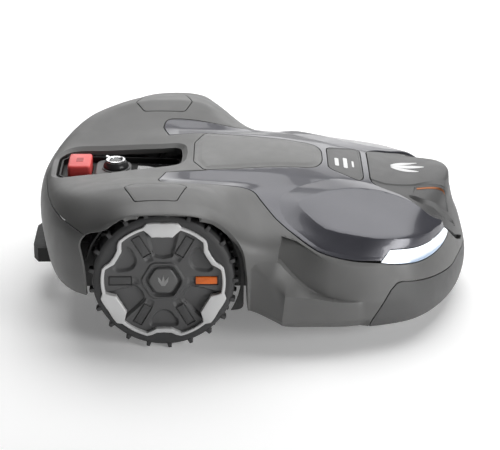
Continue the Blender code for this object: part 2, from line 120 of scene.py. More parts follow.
# Half sections of the outer skin, from the spine down to the skirt: x, then (y, z) of each guide line.
SECTIONS = [
    (-250, [(0, 226), (46, 227), (84, 233), (114, 239), (152, 247), (193, 254), (224, 250), (247, 238),
            (272, 218), (277, 190), (279, 165), (277, 130), (273, 106), (268, 94)]),
    (-200, [(0, 233), (48, 233), (86, 239), (117, 242), (160, 253), (203, 265), (238, 262), (256, 255),
            (285, 248), (288, 204), (289, 160), (288, 120), (286, 93), (282, 80)]),
    (-140, [(0, 237), (46, 237), (86, 243), (118, 241), (161, 253), (204, 266), (238, 264), (259, 258),
            (288, 251.5), (289, 205), (290, 150), (290, 108), (288, 78), (285, 64)]),
    (-95, [(0, 244), (45, 245), (86, 246), (119, 239), (160, 250), (204, 264), (236, 262), (256, 256),
           (287, 250), (289, 203), (290, 148), (290, 104), (288, 74), (285, 60)]),
    (-60, [(0, 247), (45, 247), (86, 246), (120, 237), (158, 246), (198, 252), (229, 248), (246, 243),
           (282, 237), (286, 195), (289, 142), (289, 102), (287, 72), (284, 58)]),
    (-25, [(0, 249), (45, 248), (86, 244), (121, 236), (150, 238), (186, 224), (216, 217), (236, 213),
           (274, 204), (281, 170), (281, 132), (276, 100), (268, 78), (264, 66)]),
    (10, [(0, 249), (45, 248), (86, 243), (122, 234), (146, 229), (172, 217), (200, 206), (226, 197),
          (254, 180), (263, 164), (264, 152), (265, 147), (264, 84), (262, 68)]),
    (54, [(0, 247), (45, 246), (86, 240), (124, 232), (152, 224), (180, 211), (206, 200), (226, 191),
          (243, 178), (252, 160), (260, 137), (262, 107), (262, 57), (259, 43)]),
    (85, [(0, 243), (45, 242), (86, 236), (126, 228), (154, 219), (178, 207), (202, 194), (224, 185),
          (244, 173), (257, 143), (263, 112), (265, 98), (265, 57), (261, 42)]),
    (120, [(0, 238), (45, 237), (86, 231), (127, 221), (170, 205), (207, 189), (226, 178), (243, 168),
           (257, 156), (265, 128), (269, 102), (270, 92), (270, 56), (265, 41)]),
    (160, [(0, 230), (45, 229), (86, 224), (127, 212), (176, 196), (216, 180), (230, 168), (243, 156),
           (255, 144), (264, 117), (271, 90), (275, 89), (275, 54), (270, 39)]),
    (200, [(0, 222), (45, 221), (86, 216), (126, 204), (174, 190), (219, 174), (230, 164), (238, 152),
           (247, 137), (257, 112), (264, 88), (268, 80), (267, 51), (262, 37)]),
    (245, [(0, 215), (45, 213), (86, 207), (126, 195), (168, 184), (207, 170), (217, 160), (224, 148),
           (231, 134), (240, 116), (247, 92), (253, 74), (251, 48), (246, 36)]),
]
# Where each guide line crosses the middle plane at the tail and at the nose, as (x, z).
TAIL = [(-322, 222), (-334, 221), (-345, 219), (-351, 214), (-356, 208), (-360, 201), (-363, 193),
        (-365, 185), (-366, 176), (-366, 163), (-364, 147), (-359, 121), (-355, 105), (-352, 96)]
NOSE = [(335, 207), (341, 205), (346, 198), (350, 184), (354, 166), (359, 150), (363, 141),
        (367, 132), (371, 118), (375, 104), (379, 89), (382, 70), (381, 50), (377, 36)]
TAIL_ROWS, NOSE_ROWS = 4, 5
TAIL_ROUND = (1.7, 2.2, 12)   # plan roundness at the spine and at a later guide line, and that line
NOSE_ROUND = (3.0, 1.6, 4)
TAIL_FALL, NOSE_FALL = 1.6, 1.3   # how late the guide lines drop towards the tail and the nose
# Folds that run along a guide line: line, from x, to x, sharpness.
FOLDS = [(2, -170, 150, 0.55), (3, -165, 170, 0.8), (5, -240, -70, 0.5), (5, 100, 300, 0.45),
         (6, 100, 300, 0.3), (7, -240, -40, 0.6), (8, -230, -70, 0.7), (8, 60, 230, 0.55),
         (12, 190, 240, 0.8)]


def skin_rows():
    def fan(section, end, roundness, fall, count):
        x0, guide = section
        at_spine, at_line, line = roundness
        rows = []
        for step in range(1, count + 1):
            turn = math.pi / 2 * step / count
            row = []
            for index, ((y, z), (x_end, z_end)) in enumerate(zip(guide, end)):
                power = 2 / (at_spine + (at_line - at_spine) * min(index / line, 1))
                along, across = math.sin(turn) ** power, max(math.cos(turn), 0.0) ** power
                row.append((x0 + (x_end - x0) * along, y * across if step < count else 0.0,
                            z + (z_end - z) * math.sin(turn) ** fall))
            rows.append(row)
        return rows

    middle = [[(x, y, z) for y, z in guide] for x, guide in SECTIONS]
    tail = fan(SECTIONS[0], TAIL, TAIL_ROUND, TAIL_FALL, TAIL_ROWS)
    return tail[::-1] + middle + fan(SECTIONS[-1], NOSE, NOSE_ROUND, NOSE_FALL, NOSE_ROWS)


def evaluated(shape, kind, **settings):
    """The bmesh after a modifier."""
    mesh = bpy.data.meshes.new("work")
    shape.to_mesh(mesh)
    shape.free()
    holder = bpy.data.objects.new("work", mesh)
    bpy.context.scene.collection.objects.link(holder)
    modifier = holder.modifiers.new(kind, kind)
    for name, value in settings.items():
        setattr(modifier, name, value)
    result = bmesh.new()
    result.from_mesh(holder.evaluated_get(bpy.context.evaluated_depsgraph_get()).to_mesh())
    bpy.data.objects.remove(holder)
    bpy.data.meshes.remove(mesh)
    return result


def half_skin():
    """The left half of the smooth outer skin: a chain of edges drawn along the mower, then subdivided."""
    shape = bmesh.new()
    line = shape.verts.layers.int.new("line")
    rows = [[(x, -y, z) for x, y, z in row[:0:-1]] + row for row in skin_rows()]
    reach = len(SECTIONS[0][1]) - 1
    chain = [shape.verts.new(point) for point in rows[0]]
    for index, corner in enumerate(chain):
        corner[line] = abs(index - reach)
    edges = [shape.edges.new(pair) for pair in zip(chain, chain[1:])]
    for row in rows[1:]:
        grown = bmesh.ops.extrude_edge_only(shape, edges=edges)["geom"]
        edges = [item for item in grown if isinstance(item, bmesh.types.BMEdge)]
        chain = [next(other for edge in corner.link_edges for other in [edge.other_vert(corner)]
                      if other in grown) for corner in chain]
        for corner, point in zip(chain, row):
            corner.co = point
        edges = [shape.edges.get(pair) for pair in zip(chain, chain[1:])]
    bmesh.ops.remove_doubles(shape, verts=shape.verts, dist=1e-3)
    bmesh.ops.recalc_face_normals(shape, faces=shape.faces)
    crease = shape.edges.layers.float.new("crease_edge")
    for edge in shape.edges:
        first, second = edge.verts
        middle_x = (first.co.x + second.co.x) / 2
        for guide, start, end, sharpness in FOLDS:
            if first[line] == second[line] == guide and start < middle_x < end:
                edge[crease] = sharpness
    whole = evaluated(shape, "SUBSURF", levels=SKIN_LEVELS, render_levels=SKIN_LEVELS)
    far = [face for face in whole.faces if face.calc_center_median().y < 0]
    bmesh.ops.delete(whole, geom=far, context="FACES")
    return whole


def walled(shape, thickness):
    return evaluated(shape, "SOLIDIFY", thickness=thickness, offset=-1)


def mirror(shape):
    """Turns a left piece into a right one, and a right one into a left one."""
    bmesh.ops.scale(shape, verts=shape.verts, vec=(1, -1, 1))
    bmesh.ops.reverse_faces(shape, faces=shape.faces)


def join(shape, piece):
    """Adds a loose piece to a bmesh, and frees the piece."""
    spare = bpy.data.meshes.new("spare")
    piece.to_mesh(spare)
    piece.free()
    shape.from_mesh(spare)
    bpy.data.meshes.remove(spare)


def offset(outline, by):
    """The outline moved outwards by a distance, or inwards where it is negative."""
    area = sum(a[0] * b[1] - b[0] * a[1] for a, b in zip(outline, outline[1:] + outline[:1]))
    outward = by if area > 0 else -by
    moved = []
    for before, here, after in zip(outline[-1:] + outline[:-1], outline, outline[1:] + outline[:1]):
        first = (Vector(here) - Vector(before)).normalized()
        second = (Vector(after) - Vector(here)).normalized()
        normals = Vector((first.y, -first.x)), Vector((second.y, -second.x))
        middle = (normals[0] + normals[1]).normalized()
        moved.append(tuple(Vector(here) + middle * outward / max(middle.dot(normals[0]), 0.5)))
    return moved


def smooth(points, closed=True, step=6.0):
    """A curve drawn through the points, as short straight lines."""
    count = len(points)
    result = []
    for index in range(count if closed else count - 1):
        p0, p1, p2, p3 = [Vector(points[(index + shift) % count]) for shift in (-1, 0, 1, 2)]
        if not closed and index == 0:
            p0 = p1
        if not closed and index == count - 2:
            p3 = p2
        pieces = max(1, round((p2 - p1).length / step))
        for piece in range(pieces):
            t = piece / pieces
            result.append(tuple(0.5 * (2 * p1 + (p2 - p0) * t + (2 * p0 - 5 * p1 + 4 * p2 - p3) * t * t
                                       + (3 * p1 - p0 - 3 * p2 + p3) * t ** 3)))
    return result if closed else result + [tuple(points[-1])]


def rounded(outline, radius, steps=4):
    """The outline with its corners turned into short arcs."""
    result = []
    for before, here, after in zip(outline[-1:] + outline[:-1], outline, outline[1:] + outline[:1]):
        here = Vector(here)
        back, on = Vector(before) - here, Vector(after) - here
        if back.angle(on) > math.radians(172):
            result.append(tuple(here))
            continue
        reach = min(radius, back.length * 0.48, on.length * 0.48)
        start, end = here + back.normalized() * reach, here + on.normalized() * reach
        for step in range(steps + 1):
            share = step / steps
            result.append(tuple(start.lerp(here, share).lerp(here.lerp(end, share), share)))
    return result


def both_halves(half):
    """The closed outline of a half outline that starts and ends on the middle plane."""
    return half + [(x, -y) for x, y in reversed(half) if y > 0]


# The views an outline is drawn in: from above, from the side, and from the front corner.
TOP = Vector((1, 0, 0)), Vector((0, 1, 0))
SIDE = Vector((1, 0, 0)), Vector((0, 0, 1))
CORNER = Vector((-1, 1, 0)).normalized(), Vector((0, 0, 1))


def flat(point, plane):
    """A point as it is seen in one of the views."""
    return Vector((point.dot(plane[0]), point.dot(plane[1])))


def inside(outline, point):
    """Whether a flat point lies inside a closed outline."""
    u, v = point
    within = False
    for (ax, ay), (bx, by) in zip(outline, outline[1:] + outline[:1]):
        if (ay > v) != (by > v) and u < (bx - ax) * (v - ay) / (by - ay) + ax:
            within = not within
    return within


def boxed(outline, margin=0.0):
    """A test of whether a flat point lies in the box round an outline."""
    low = [min(point[axis] for point in outline) - margin for axis in (0, 1)]
    high = [max(point[axis] for point in outline) + margin for axis in (0, 1)]
    return lambda place: low[0] < place.x < high[0] and low[1] < place.y < high[1]


CUT_REACH = 9.0   # how far from a cutting line a face may lie and still be looked at


def score(shape, outline, plane=TOP, accept=None):
    """Cuts the skin along a closed outline, pressed through it."""
    close = boxed(outline, CUT_REACH)
    waiting = {}
    for face in shape.faces:
        centre = face.calc_center_median()
        place = flat(centre, plane)
        if close(place) and (accept is None or accept(centre)):
            waiting[face] = place
    for start, end in zip(outline, outline[1:] + outline[:1]):
        a, b = Vector(start), Vector(end)
        length = (b - a).length
        if length < 1e-6:
            continue
        along = (b - a) / length
        across = Vector((along.y, -along.x))
        near = [face for face, place in waiting.items()
                if abs((place - a).dot(across)) < CUT_REACH
                and -CUT_REACH < (place - a).dot(along) < length + CUT_REACH]
        if not near:
            continue
        for face in near:
            del waiting[face]
        edges = {edge for face in near for edge in face.edges}
        corners = {corner for face in near for corner in face.verts}
        normal = plane[0] * across.x + plane[1] * across.y
        result = bmesh.ops.bisect_plane(shape, geom=near + list(edges) + list(corners), dist=1e-3,
                                        plane_co=plane[0] * a.x + plane[1] * a.y, plane_no=normal)
        for item in result["geom"]:
            if isinstance(item, bmesh.types.BMFace):
                waiting[item] = flat(item.calc_center_median(), plane)


def carve(shape, outline, plane=TOP, keep=False, accept=None):
    """Scores an outline and deletes what lies inside it, or outside it where keep is set."""
    score(shape, outline, plane, accept)
    close = boxed(outline)
    gone = []
    for face in shape.faces:
        centre = face.calc_center_median()
        place = flat(centre, plane)
        within = close(place) and (accept is None or accept(centre)) and inside(outline, place)
        if within != keep:
            gone.append(face)
    bmesh.ops.delete(shape, geom=gone, context="FACES")


def distance(outline, place):
    """How far a flat point lies from the nearest side of an outline."""
    nearest = 1e9
    for start, end in zip(outline, outline[1:] + outline[:1]):
        a, b = Vector(start), Vector(end)
        along = b - a
        share = max(0.0, min(1.0, (place - a).dot(along) / max(along.length_squared, 1e-9)))
        nearest = min(nearest, (place - a - along * share).length)
    return nearest


def emboss(shape, foot, rise, slope=None, plane=TOP, accept=None, along=None, soft=False,
           crest=None, ridge=None):
    """Raises or sinks the skin inside an outline, with a bank of one width or up to a crest outline."""
    if crest is None:
        crest = offset(foot, -slope)
    score(shape, foot, plane, accept)
    score(shape, crest, plane, accept)
    if ridge:
        score(shape, ridge, plane, accept)
    if soft and slope:
        score(shape, offset(foot, -slope / 3), plane, accept)
        score(shape, offset(foot, -slope * 2 / 3), plane, accept)
    shape.normal_update()
    close = boxed(foot)
    moves = []
    for corner in shape.verts:
        place = flat(corner.co, plane)
        if not (close(place) and inside(foot, place)):
            continue
        if accept is not None and not accept(corner.co):
            continue
        below = distance(foot, place)
        share = 1.0 if inside(crest, place) else below / max(below + distance(crest, place), 1e-6)
        if soft:
            share = share * share * (3 - 2 * share)
        direction = corner.normal.copy() if along is None else along
        if abs(corner.co.y) < 1e-3 and along is None:
            direction.y = 0.0
        amount = rise(corner.co) if callable(rise) else rise
        moves.append((corner, direction * (amount * share)))
    for corner, move in moves:
        corner.co += move


def keep_largest(shape):
    """Deletes crumbs left beside a cut."""
    seen, islands = set(), []
    for face in shape.faces:
        if face in seen:
            continue
        island, queue = [], [face]
        seen.add(face)
        while queue:
            here = queue.pop()
            island.append(here)
            for edge in here.edges:
                for other in edge.link_faces:
                    if other not in seen:
                        seen.add(other)
                        queue.append(other)
        islands.append(island)
    islands.sort(key=len)
    for island in islands[:-1]:
        bmesh.ops.delete(shape, geom=island, context="FACES")


def roll_edges(shape, depth=RETURN):
    """Turns every free edge of a half panel in over a small radius, except the one on the middle plane."""
    profile = [(RIM * math.sin(turn), RIM * (1 - math.cos(turn)))
               for turn in [math.pi / 2 * step / 3 for step in (1, 2, 3)]] + [(RIM, depth)]
    edges = [edge for edge in shape.edges
             if edge.is_boundary and max(abs(corner.co.y) for corner in edge.verts) > 1e-3]
    shape.normal_update()
    away = {}
    for edge in edges:
        face = edge.link_faces[0]
        direction = (edge.verts[1].co - edge.verts[0].co).normalized().cross(face.normal)
        if direction.dot(edge.verts[0].co - face.calc_center_median()) < 0:
            direction = -direction
        for corner in edge.verts:
            away.setdefault(corner, []).append((direction, face.normal.copy()))
    base = {}
    for corner, pairs in away.items():
        out = sum((pair[0] for pair in pairs), Vector()).normalized()
        up = sum((pair[1] for pair in pairs), Vector()).normalized()
        if abs(corner.co.y) < 1e-3:
            out.y = up.y = 0.0
        base[corner] = (corner.co.copy(), out, up)
    for out_by, down_by in profile:
        grown = set(bmesh.ops.extrude_edge_only(shape, edges=edges)["geom"])
        fresh = {}
        for corner, data in base.items():
            other = next(o for e in corner.link_edges for o in [e.other_vert(corner)]
                         if o in grown and (o.co - corner.co).length < 1e-6)
            fresh[corner] = other
        edges = [shape.edges.get((fresh[edge.verts[0]], fresh[edge.verts[1]])) for edge in edges]
        base = {fresh[corner]: data for corner, data in base.items()}
        for corner, (place, out, up) in base.items():
            corner.co = place + out * out_by - up * down_by


def as_object(name, shape, finish, body, slot_name, *stands_for, smooth_angle=24):
    """Makes the finished object from a bmesh in millimetres, and ties it to the frame."""
    bmesh.ops.scale(shape, verts=shape.verts, vec=(MM, MM, MM))
    mesh = bpy.data.meshes.new(name)
    shape.to_mesh(mesh)
    shape.free()
    mesh.shade_smooth()
    mesh.set_sharp_from_angle(angle=math.radians(smooth_angle))
    mesh.materials.append(finish)
    piece = bpy.data.objects.new(name, mesh)
    bpy.context.scene.collection.objects.link(piece)
    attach(piece, body)
    if stands_for:
        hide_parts(*stands_for)


def panel(name, half, finish, slot_name, node, depth=RETURN, sides=(1, -1)):
    """A body panel: its free edges rolled, mirrored across the middle plane, and given its wall."""
    keep_largest(half)
    bmesh.ops.dissolve_degenerate(half, edges=half.edges, dist=0.02)
    roll_edges(half, depth)
    if sides == (-1,):
        mirror(half)
    elif sides == (1, -1):
        copy = half.copy()
        mirror(copy)
        join(half, copy)
        middle = [corner for corner in half.verts if abs(corner.co.y) < 1e-3]
        bmesh.ops.remove_doubles(half, verts=middle, dist=1e-2)
    as_object(name, walled(half, WALL), finish, "shell", slot_name, node)


def colour_mix(tree, first, second, share):
    """A node that mixes two colours by the value another node gives."""
    node = tree.nodes.new("ShaderNodeMix")
    node.data_type = "RGBA"
    node.inputs["A"].default_value = (*first, 1.0)
    node.inputs["B"].default_value = (*second, 1.0)
    tree.links.new(share.outputs["Result"], node.inputs["Factor"])
    return node


def plastic(name, colour, roughness, grain=0.06, grain_scale=900.0, metallic=0.0, coat=0.0, fleck_glint=0.0):
    """Moulded plastic: a fine grain in the surface, faint mottling in colour and gloss."""
    finish = bpy.data.materials.new(name)
    finish.use_nodes = True
    tree = finish.node_tree
    shader = tree.nodes["Principled BSDF"]
    shader.inputs["Metallic"].default_value = metallic
    shader.inputs["Coat Weight"].default_value = coat
    place = tree.nodes.new("ShaderNodeTexCoord")

    def noise(scale, detail):
        node = tree.nodes.new("ShaderNodeTexNoise")
        node.inputs["Scale"].default_value = scale
        node.inputs["Detail"].default_value = detail
        tree.links.new(place.outputs["Object"], node.inputs["Vector"])
        return node

    def ramp(source, low, high, start=0.3, end=0.7):
        node = tree.nodes.new("ShaderNodeMapRange")
        node.inputs["From Min"].default_value, node.inputs["From Max"].default_value = start, end
        node.inputs["To Min"].default_value, node.inputs["To Max"].default_value = low, high
        tree.links.new(source.outputs["Fac"], node.inputs["Value"])
        return node

    mottled = colour_mix(tree, [part * 0.93 for part in colour],
                         [min(part * 1.07 + fleck_glint * 0.01, 1.0) for part in colour],
                         ramp(noise(14.0, 4.0), 0.0, 1.0))
    # Metallic flecks: the flakes of the paint, with their sparkle painted in as tiny lighter specks of
    # colour, a painted glint.
    if fleck_glint:
        fleck_glints = colour_mix(tree, colour, [min(part + fleck_glint, 1.0) for part in colour],
                             ramp(noise(2600.0, 1.0), 0.0, 1.0, 0.62, 0.8))
        tree.links.new(mottled.outputs["Result"], fleck_glints.inputs["A"])
        mottled = fleck_glints
    tree.links.new(mottled.outputs["Result"], shader.inputs["Base Color"])
    gloss = ramp(noise(45.0, 3.0), roughness * 0.92, min(roughness * 1.08, 1.0))
    tree.links.new(gloss.outputs["Result"], shader.inputs["Roughness"])
    bump = tree.nodes.new("ShaderNodeBump")
    bump.inputs["Strength"].default_value = grain
    bump.inputs["Distance"].default_value = 0.0006
    tree.links.new(noise(grain_scale, 2.0).outputs["Fac"], bump.inputs["Height"])
    tree.links.new(bump.outputs["Normal"], shader.inputs["Normal"])
    return finish


# Outlines seen from above, as half outlines from the middle plane out and back to it.
SLOT = [(-334, 0), (-334, 40), (-321, 58), (-301, 61), (-128, 43), (-119, 33), (-117, 0)]
HATCH = [(-97, 0), (-97, 44), (-79, 86), (-35, 81), (80, 61), (100, 58), (112, 52), (121, 38), (125, 18),
         (125, 0)]
LABEL = [(134, 0), (134, 42), (140, 51), (182, 73), (190, 71), (194, 60), (194, 0)]
NOSE_PANEL = [(205, 0), (205, 58), (210, 74), (228, 88), (253, 98), (276, 116), (299, 128), (316, 123),
              (336, 107), (352, 85), (362, 62), (368, 46), (390, 46), (390, 0)]
HOOD = [(-60, 0), (-60, 80), (-79, 88), (-143, 88), (-154, 122), (-146, 147), (-110, 150), (-63, 144),
        (-21, 138), (4, 145), (16, 162), (29, 181), (42, 199), (58, 215), (76, 228), (96, 240), (114, 247),
        (140, 249), (176, 246), (213, 238), (227, 232), (249, 224), (271, 211), (289, 195), (307, 170),
        (320, 146), (332, 117), (340, 95), (344, 0)]
FENDER_COVER = [(-207, 203), (-188, 250), (-119, 252), (-104, 203), (-117, 172), (-191, 172)]
# Outlines seen from the side, as (x, z).
ARCH = [(-262, 20), (-268, 60), (-271, 122), (-273, 155), (-281, 188), (-268, 206), (-257, 210), (-238, 215),
        (-217, 233), (-197, 245), (-150, 248), (-90, 246), (-62, 234), (-36, 213), (-18, 190), (-10, 170),
        (-6, 130), (-5, 20)]
REAR_BUMPER = [(-400, 206), (-330, 211), (-292, 211), (-262, 202), (-250, 202), (-250, 20), (-400, 20)]
FRONT_BUMPER = [(192, 20), (198, 46), (217, 77), (231, 98), (241, 107), (252, 108), (277, 103), (313, 95),
                (344, 89), (355, 92), (400, 89), (400, 20)]
# The headlight seen from the front corner, as (towards the rear, z).
LAMP = [(18, 142), (6, 138), (-15, 134.5), (-40, 131.5), (-64, 130), (-93, 130), (-118, 131.5), (-141, 135),
        (-158, 140), (-165, 146), (-158, 151), (-146, 150.5), (-125, 149.8), (-100, 150), (-73, 151.3),
        (-49, 153.4), (-16, 157.5), (-4, 158.5), (7, 150)]


def above(height):
    return lambda place: place.z > height


def beyond(width):
    return lambda place: place.y > width


def lamp_side(place):
    """Only the front quarter, so that a cut in the corner view leaves the tail alone."""
    return place.x > 150 and place.z > 107


gap = SEAM / 2 + RIM
slot_line = rounded(both_halves(SLOT), 9)
hatch_line = rounded(both_halves(HATCH), 7)
label_line = rounded(both_halves(LABEL), 5)
nose_line = both_halves(smooth(NOSE_PANEL[1:-2], closed=False) + NOSE_PANEL[-2:])
nose_line = [(205, 0)] + [point for point in nose_line if point[0] > 204]
nose_line = [point for index, point in enumerate(nose_line) if point != nose_line[index - 1]]
hood_line = both_halves(HOOD[:4] + smooth(HOOD[4:-1], closed=False) + [HOOD[-1]])
lamp_line = smooth(LAMP[1:-1], closed=False, step=8.0) + [LAMP[-1], LAMP[0]]
cover_line = rounded(FENDER_COVER, 5)
arch_line = rounded(ARCH, 22, steps=6)
rear_line = smooth(REAR_BUMPER[:4], closed=False, step=8.0) + REAR_BUMPER[4:]
front_line = smooth(FRONT_BUMPER[:4], closed=False) + smooth(FRONT_BUMPER[4:-1], closed=False)
front_line += [FRONT_BUMPER[-1]]
# The flank narrows in front of a hard edge behind the front fender; below it a block stands out as a sill,
# with a ramp on its rear corner and a bevelled lower edge. These are seen from the side, as (x, z).
FOLD = [(16, 154), (41, 152), (48, 148), (58, 137), (74, 121), (91, 107), (108, 98), (133, 92), (159, 88),
        (186, 85)]
HOLLOW = [(50, 187), (42, 152), (48, 149), *FOLD[3:8], (150, 108), (146, 142), (116, 158), (99, 168),
          (75, 180)]
SILL_FOOT = [(-1, 60), (0, 146), (8, 153), *smooth(FOLD, closed=False), (190, 84), (190, 20), (-1, 20)]
SILL_TOP = smooth([(91, 99.5), (124, 95.5), (157, 91.5), (176, 89)], closed=False)
SILL_CREST = [(56, 104), *SILL_TOP, (176, 10), (50, 10), (51, 58)]
SILL_RIDGE = [(9, 152), (56, 104)]
SKIRT_BEVEL = [(-30, 76), (31, 62), (51, 56.5), (196, 54), (196, -20), (-30, -20)]


def flank(place):
    """Only the side wall, below the fender's shoulder."""
    return place.y > 200 and place.z < 215


def hollow_rise(place):
    """Deepest at its rear end, and gone in a shallow run towards the nose."""
    return -14.0 * max(0.0, 1 - (place.x - 42) / 84) ** 1.25


def sill_rise(place):
    """Stands out most at its rear corner, and runs out into the front bumper."""
    return 24.0 * (1 - max(0.0, min((place.x - 56) / 132, 1.0)) ** 1.15)


OUTWARD = Vector((0, 1, 0))
skin = half_skin()
emboss(skin, HOLLOW, hollow_rise, slope=2.5, plane=SIDE, accept=flank, along=OUTWARD)
emboss(skin, SILL_FOOT, sill_rise, plane=SIDE, accept=flank, along=OUTWARD, crest=SILL_CREST,
       ridge=SILL_RIDGE)
emboss(skin, SKIRT_BEVEL, rise=-8.5, slope=16.0, plane=SIDE, accept=flank, along=OUTWARD)

on_top = above(150)
SLOT_BORDER = 9
SLOT_RETURN = 9.0
body_half = skin.copy()
emboss(body_half, offset(slot_line, SLOT_BORDER), rise=-4.5, slope=8.5, accept=on_top)
carve(body_half, offset(hood_line, gap), accept=above(107))
carve(body_half, offset(hatch_line, gap), accept=on_top)
carve(body_half, offset(nose_line, gap), accept=above(103))
carve(body_half, offset(slot_line, RIM), accept=on_top)
carve(body_half, offset(lamp_line, gap), CORNER, accept=lamp_side)
carve(body_half, offset(cover_line, gap), accept=above(200))
carve(body_half, offset(arch_line, RIM), SIDE, accept=beyond(180))
carve(body_half, offset(rear_line, gap), SIDE)
carve(body_half, offset(front_line, gap), SIDE)
body_grey = plastic("body_grey", (0.115, 0.115, 0.113), 0.48)
panel("body_panel", body_half, body_grey, "body_grey", "body_shell", depth=SLOT_RETURN)


# --- Hood ---
# Graphite cover over the front of the mower, with a prong running back on each side of the hatch and a
# raised blister over each headlight. Painted: a satin coat with fine metallic flecks, whose sparkle is
# painted glint: tiny lighter specks in the colour.

BLISTER_RISE = 6.0
BLISTER_FOOT = [(50, 182), (52, 150), (98, 108), (150, 80), (205, 76), (240, 84), (268, 98), (296, 116),
                (314, 110), (326, 106), (331, 111), (324, 126), (315, 144), (303, 166), (288, 186),
                (270, 204), (241, 222), (228, 228), (212, 234), (176, 241), (140, 243), (116, 241),
                (99, 233), (80, 220), (62, 206)]
BLISTER_CREST = [(79, 170), (84, 158), (116, 134), (166, 108), (210, 100), (240, 104), (266, 114),
                 (292, 128), (308, 126), (320, 116), (317, 128), (306, 147), (295, 166), (277, 186),
                 (260, 200), (239, 209), (217, 215), (196, 218), (176, 217), (134, 213), (113, 204),
                 (93, 186)]
hood_half = skin.copy()
emboss(hood_half, smooth(BLISTER_FOOT), BLISTER_RISE, accept=above(110), crest=smooth(BLISTER_CREST))
carve(hood_half, offset(hood_line, -gap), keep=True, accept=above(107))
carve(hood_half, offset(hatch_line, gap))
carve(hood_half, offset(label_line, gap))
carve(hood_half, offset(nose_line, gap))
carve(hood_half, offset(lamp_line, gap), CORNER, accept=lamp_side)
graphite = plastic("graphite_paint", (0.062, 0.062, 0.074), 0.3, grain=0.02, metallic=0.3, coat=0.3,
                   fleck_glint=0.05)
panel("hood_panel", hood_half, graphite, "hood_graphite", "hood")


# --- Hatch ---
# The lid over the battery bay: a mid-grey moulding with a slightly raised middle, clipped down by hand.

hatch_half = skin.copy()
emboss(hatch_half, offset(hatch_line, -7), rise=1.3, slope=7.0, accept=on_top)
carve(hatch_half, offset(hatch_line, -gap), keep=True, accept=on_top)
hatch_grey = plastic("hatch_grey", (0.125, 0.125, 0.122), 0.45)
panel("hatch_panel", hatch_half, hatch_grey, "body_grey", "top_hatch")


# --- Name plate ---
# Dark inlay in front of the hatch, pressed into the hood. It carries three plain printed bars.

label_half = skin.copy()
emboss(label_half, offset(label_line, -3), rise=-0.8, slope=1.5, accept=on_top)
carve(label_half, offset(label_line, -gap), keep=True, accept=on_top)
trim_dark = plastic("trim_dark", (0.085, 0.085, 0.085), 0.5)
panel("label_panel", label_half, trim_dark, "trim_dark", "label_plate")
print_white = plastic("print_white", (0.75, 0.75, 0.75), 0.5, grain=0.02)
PRINT_DEPTH = 0.6


def top_decal(name, base, outlines, finish, slot_name, lift):
    """Thin printing on the top of a half panel and of its mirror image."""
    result = bmesh.new()
    for outline in outlines:
        for side in (1, -1):
            half = base.copy()
            carve(half, [(x, y * side) for x, y in outline][::side], keep=True, accept=on_top)
            if side < 0:
                mirror(half)
            join(result, half)
    result.normal_update()
    bmesh.ops.translate(result, verts=result.verts, vec=(0, 0, lift))
    as_object(name, walled(result, PRINT_DEPTH), finish, "shell", slot_name)


def bar(x, y, width, length):
    half_w, half_l = width / 2, length / 2
    return rounded([(x - half_w, y - half_l), (x + half_w, y - half_l), (x + half_w, y + half_l),
                    (x - half_w, y + half_l)], width * 0.45)


bars = [bar(150, -14, 7, 34), bar(165, -12, 7, 44), bar(178, -12, 3.5, 26)]
top_decal("label_bars", skin, bars, print_white, "trim_dark", -0.5)


# --- Nose panel ---
# Dark front cover with the brow over the front camera. Each side of the brow has a sensor window with a
# copper strip, and a gutter under it that carries rain off the hood.

BROW = [(196, 0), (196, 62), (230, 72), (254, 71), (279, 67), (337, 44), (345, 26), (347, 0)]
WINDOW = [(281, 69), (336, 48), (340, 60), (341, 71), (330, 80), (316, 87.5), (294, 92), (276, 89)]
GUTTER = [(268, 97), (275, 93), (294, 96), (316, 91), (331, 84), (347, 70), (353, 68), (333, 95),
          (304, 118), (290, 111), (277, 104)]


def mirrored(outline):
    return [(x, -y) for x, y in outline][::-1]


def brow_rise(place):
    """A low step at the back that grows into the overhanging brow at the front."""
    return 1.6 + 9.5 * max(0.0, min((place.x - 270) / 75, 1.0)) ** 1.6


above_apron = above(104)
nose_half = skin.copy()
carve(nose_half, offset(nose_line, -gap), keep=True, accept=above_apron)
bmesh.ops.subdivide_edges(nose_half, edges=nose_half.edges, cuts=1, use_grid_fill=True)
emboss(nose_half, smooth(GUTTER, step=4), rise=-6.0, slope=4.0, accept=above_apron,
       along=Vector((0.3, 0, 1)), soft=True)
emboss(nose_half, both_halves(BROW), brow_rise, slope=2.5, accept=above_apron,
       along=Vector((0.12, 0, 1)))
emboss(nose_half, rounded(WINDOW, 3), rise=-1.6, slope=1.0, accept=above_apron)
nose_top = nose_half.copy()
panel("nose_cover", nose_half, trim_dark, "trim_dark", "nose_panel")
copper = plastic("copper_strip", (0.32, 0.12, 0.05), 0.3, grain=0.02, metallic=0.6)
STRIP = [(284, 70.5), (334, 50.5), (335, 54.5), (285, 74.5)]
top_decal("sensor_strips", nose_top, [STRIP, mirrored(STRIP)], copper, "trim_dark", 0.7)
LEAF = smooth([(244, 0), (262, 5.5), (282, 6), (303, 0), (282, -6), (262, -5.5)], step=4)
SIDE_LEAF = smooth([(244, 3), (252, 13), (268, 20), (292, 20), (276, 12), (260, 6)], step=4)
top_decal("nose_sprig", nose_top, [LEAF, SIDE_LEAF, mirrored(SIDE_LEAF)], print_white, "trim_dark", 0.3)


# --- Bumpers ---
# Front and rear skirts. The front one is a darker, slightly rubbery moulding that takes the knocks, and
# the rear one matches the body and wraps round behind the wheels. Its edge beside the tyre is shallower.

